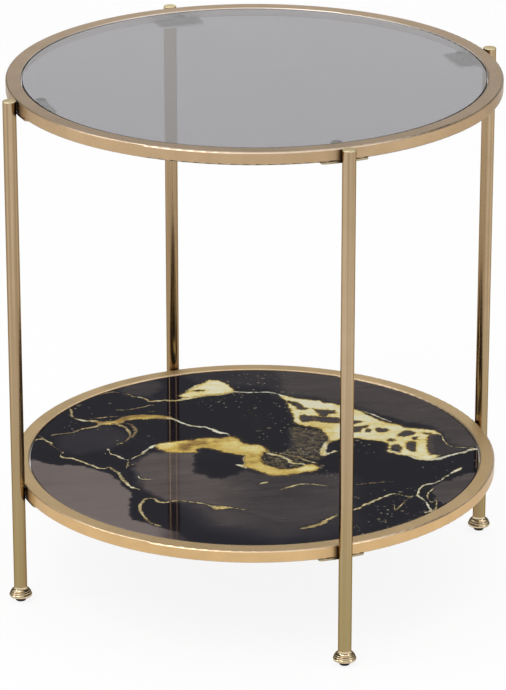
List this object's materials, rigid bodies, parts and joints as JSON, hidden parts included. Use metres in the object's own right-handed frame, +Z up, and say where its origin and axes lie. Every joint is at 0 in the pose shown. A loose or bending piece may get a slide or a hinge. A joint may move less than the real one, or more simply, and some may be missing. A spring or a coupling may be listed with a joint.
{
  "type": "side table",
  "caption": "Round two-tier side table: gold tube rings between straight round legs hold a smoked glass top and a marble-print glass shelf, on turned feet.",
  "frame": {"origin": "centre of the table's footprint, on the floor", "axes": "+Z up along the axis of both rings, -Y towards the front, with the legs on the diagonals of X and Y"},
  "size_m": [0.47, 0.47, 0.508],
  "materials": {
    "gold_ring": "satin",
    "gold_leg": "satin",
    "gold_tab": "satin",
    "gold_foot": "gloss",
    "zinc_steel": "satin",
    "smoked_glass": "polished",
    "marble_glass": "polished",
    "clear_bumper": "satin",
    "black_pad": "matte"
  },
  "bodies": {
    "frame": {"upper_ring": "gold_ring", "upper_leg_screws": "zinc_steel", "upper_rivet_nuts": "zinc_steel", "upper_tab_back_right": "gold_tab", "upper_bumper_back_right": "clear_bumper", "upper_tab_back_left": "gold_tab", "upper_bumper_back_left": "clear_bumper", "upper_tab_front_left": "gold_tab", "upper_bumper_front_left": "clear_bumper", "upper_tab_front_right": "gold_tab", "upper_bumper_front_right": "clear_bumper", "lower_ring": "gold_ring", "lower_leg_screws": "zinc_steel", "lower_rivet_nuts": "zinc_steel", "lower_tab_back_right": "gold_tab", "lower_bumper_back_right": "clear_bumper", "lower_tab_back_left": "gold_tab", "lower_bumper_back_left": "clear_bumper", "lower_tab_front_left": "gold_tab", "lower_bumper_front_left": "clear_bumper", "lower_tab_front_right": "gold_tab", "lower_bumper_front_right": "clear_bumper", "leg_back_right": "gold_leg", "leg_cap_back_right": "gold_leg", "leg_plug_back_right": "zinc_steel", "foot_back_right": "gold_foot", "glide_pad_back_right": "black_pad", "leg_back_left": "gold_leg", "leg_cap_back_left": "gold_leg", "leg_plug_back_left": "zinc_steel", "foot_back_left": "gold_foot", "glide_pad_back_left": "black_pad", "leg_front_left": "gold_leg", "leg_cap_front_left": "gold_leg", "leg_plug_front_left": "zinc_steel", "foot_front_left": "gold_foot", "glide_pad_front_left": "black_pad", "leg_front_right": "gold_leg", "leg_cap_front_right": "gold_leg", "leg_plug_front_right": "zinc_steel", "foot_front_right": "gold_foot", "glide_pad_front_right": "black_pad", "foot_studs": "zinc_steel"},
    "top_panel": {"upper_glass": "smoked_glass"},
    "shelf_panel": {"lower_glass": "marble_glass"}
  },
  "joints": [
    {"name": "upper_glass_lift", "type": "slide", "parent": "frame", "child": "top_panel", "axis": [0, 0, 1], "range_m": [0, 0.06]},
    {"name": "lower_glass_lift", "type": "slide", "parent": "frame", "child": "shelf_panel", "axis": [0, 0, 1], "range_m": [0, 0.06]}
  ]
}
